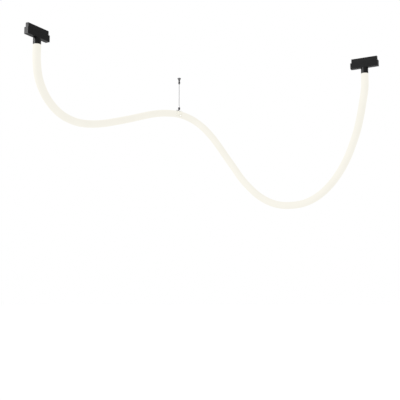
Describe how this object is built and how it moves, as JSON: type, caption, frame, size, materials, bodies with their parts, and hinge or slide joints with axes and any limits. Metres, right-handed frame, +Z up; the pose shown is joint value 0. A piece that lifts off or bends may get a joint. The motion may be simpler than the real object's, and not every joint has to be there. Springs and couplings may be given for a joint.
{
  "type": "track lighting fixture",
  "caption": "Flexible glowing silicone tube hung in a curve between two slim black magnetic track adapters, with a thin steel ceiling wire holding up its crest.",
  "frame": {"origin": "middle of the left adapter's top face, which seats in the track", "axes": "+Z up, +X along the left adapter, the right adapter lies along Y"},
  "size_m": [0.8657, 0.8554, 0.5079],
  "materials": {
    "black_shell": "matt black powder coat",
    "black_collar": "satin black powder coat",
    "black_plastic": "matt moulded",
    "magnet_nickel": "nickel plate",
    "board_green": "solder mask",
    "lead_insulation": "silicone insulation",
    "black_screw": "black oxide",
    "nylon_washer": "natural nylon",
    "plated_steel": "nickel plate, satin",
    "white_plastic": "moulded",
    "gold_contact": "gold plate",
    "spring_steel": "drawn wire",
    "glowing_silicone": "translucent cream silicone, lit from inside",
    "strip_film": "flexible circuit",
    "chip_phosphor": "phosphor",
    "clear_plastic": "clear moulded plastic",
    "dark_nickel": "dark nickel",
    "wire_steel": "stainless strand"
  },
  "bodies": {
    "light_tube": {"silicone_tube": "glowing_silicone", "strip_carrier": "white_plastic", "light_strips": "strip_film", "light_chips": "chip_phosphor", "left_swivel_stem": "plated_steel", "left_stem_ring": "plated_steel", "left_collar_washer": "black_plastic", "left_collar": "black_collar", "left_collar_screw": "black_screw", "left_end_plug": "white_plastic", "right_swivel_stem": "plated_steel", "right_stem_ring": "plated_steel", "right_collar_washer": "black_plastic", "right_collar": "black_collar", "right_collar_screw": "black_screw", "right_end_plug": "white_plastic"},
    "left_adapter": {"left_housing": "black_shell", "left_contact_block": "black_plastic", "left_magnets": "magnet_nickel", "left_circuit_board": "board_green", "left_leads": "lead_insulation", "left_housing_screws": "black_screw", "left_floor_washer": "nylon_washer", "left_pin_spring_a": "spring_steel", "left_pin_spring_b": "spring_steel"},
    "left_pin_a": {"left_contact_pin_a": "gold_contact"},
    "left_pin_b": {"left_contact_pin_b": "gold_contact"},
    "right_adapter": {"right_housing": "black_shell", "right_contact_block": "black_plastic", "right_magnets": "magnet_nickel", "right_circuit_board": "board_green", "right_leads": "lead_insulation", "right_housing_screws": "black_screw", "right_floor_washer": "nylon_washer", "right_pin_spring_a": "spring_steel", "right_pin_spring_b": "spring_steel"},
    "right_pin_a": {"right_contact_pin_a": "gold_contact"},
    "right_pin_b": {"right_contact_pin_b": "gold_contact"},
    "clip": {"tube_clip": "clear_plastic", "clip_saddle": "plated_steel"},
    "swivel": {"swivel_socket": "dark_nickel", "socket_cap": "dark_nickel"},
    "wire": {"wire_ferrule": "plated_steel", "suspension_wire": "wire_steel"},
    "gripper": {"gripper_barrel": "dark_nickel", "ceiling_base": "dark_nickel", "gripper_spring": "spring_steel"},
    "nozzle": {"release_nozzle": "dark_nickel", "gripper_balls": "plated_steel"}
  },
  "joints": [
    {"name": "left_swivel", "type": "hinge", "parent": "light_tube", "child": "left_adapter", "pos_m": [0, 0, -0.0355], "axis": [0, 0, 1], "range_deg": [-175, 175]},
    {"name": "left_pin_a_press", "type": "slide", "parent": "left_adapter", "child": "left_pin_a", "axis": [0, 0, -1], "range_m": [0, 0.0012], "stiffness_N_per_m": 400, "springref_m": -0.0005, "deforming": ["left_pin_spring_a"]},
    {"name": "left_pin_b_press", "type": "slide", "parent": "left_adapter", "child": "left_pin_b", "axis": [0, 0, -1], "range_m": [0, 0.0012], "stiffness_N_per_m": 400, "springref_m": -0.0005, "deforming": ["left_pin_spring_b"]},
    {"name": "right_swivel", "type": "hinge", "parent": "light_tube", "child": "right_adapter", "pos_m": [0.788, -0.769, -0.0355], "axis": [0, 0, 1], "range_deg": [-175, 175]},
    {"name": "right_pin_a_press", "type": "slide", "parent": "right_adapter", "child": "right_pin_a", "axis": [0, 0, -1], "range_m": [0, 0.0012], "stiffness_N_per_m": 400, "springref_m": -0.0005, "deforming": ["right_pin_spring_a"]},
    {"name": "right_pin_b_press", "type": "slide", "parent": "right_adapter", "child": "right_pin_b", "axis": [0, 0, -1], "range_m": [0, 0.0012], "stiffness_N_per_m": 400, "springref_m": -0.0005, "deforming": ["right_pin_spring_b"]},
    {"name": "clip_turn", "type": "hinge", "parent": "light_tube", "child": "clip", "pos_m": [0.685, -0.086, -0.14], "axis": [0.7225, -0.673, -0.1584], "continuous": true},
    {"name": "wire_lean", "type": "hinge", "parent": "clip", "child": "swivel", "pos_m": [0.685, -0.086, -0.12061], "axis": [0.6816, 0.7317, 0], "range_deg": [-15, 15]},
    {"name": "wire_spin", "type": "hinge", "parent": "swivel", "child": "wire", "pos_m": [0.685, -0.086, -0.12061], "axis": [0, 0, 1], "continuous": true},
    {"name": "gripper_slide", "type": "slide", "parent": "wire", "child": "gripper", "axis": [0, 0, -1], "range_m": [-0.004, 0.002]},
    {"name": "nozzle_press", "type": "slide", "parent": "gripper", "child": "nozzle", "axis": [0, 0, 1], "range_m": [0, 0.0015], "stiffness_N_per_m": 1000, "springref_m": -0.0005, "deforming": ["gripper_spring"]}
  ]
}
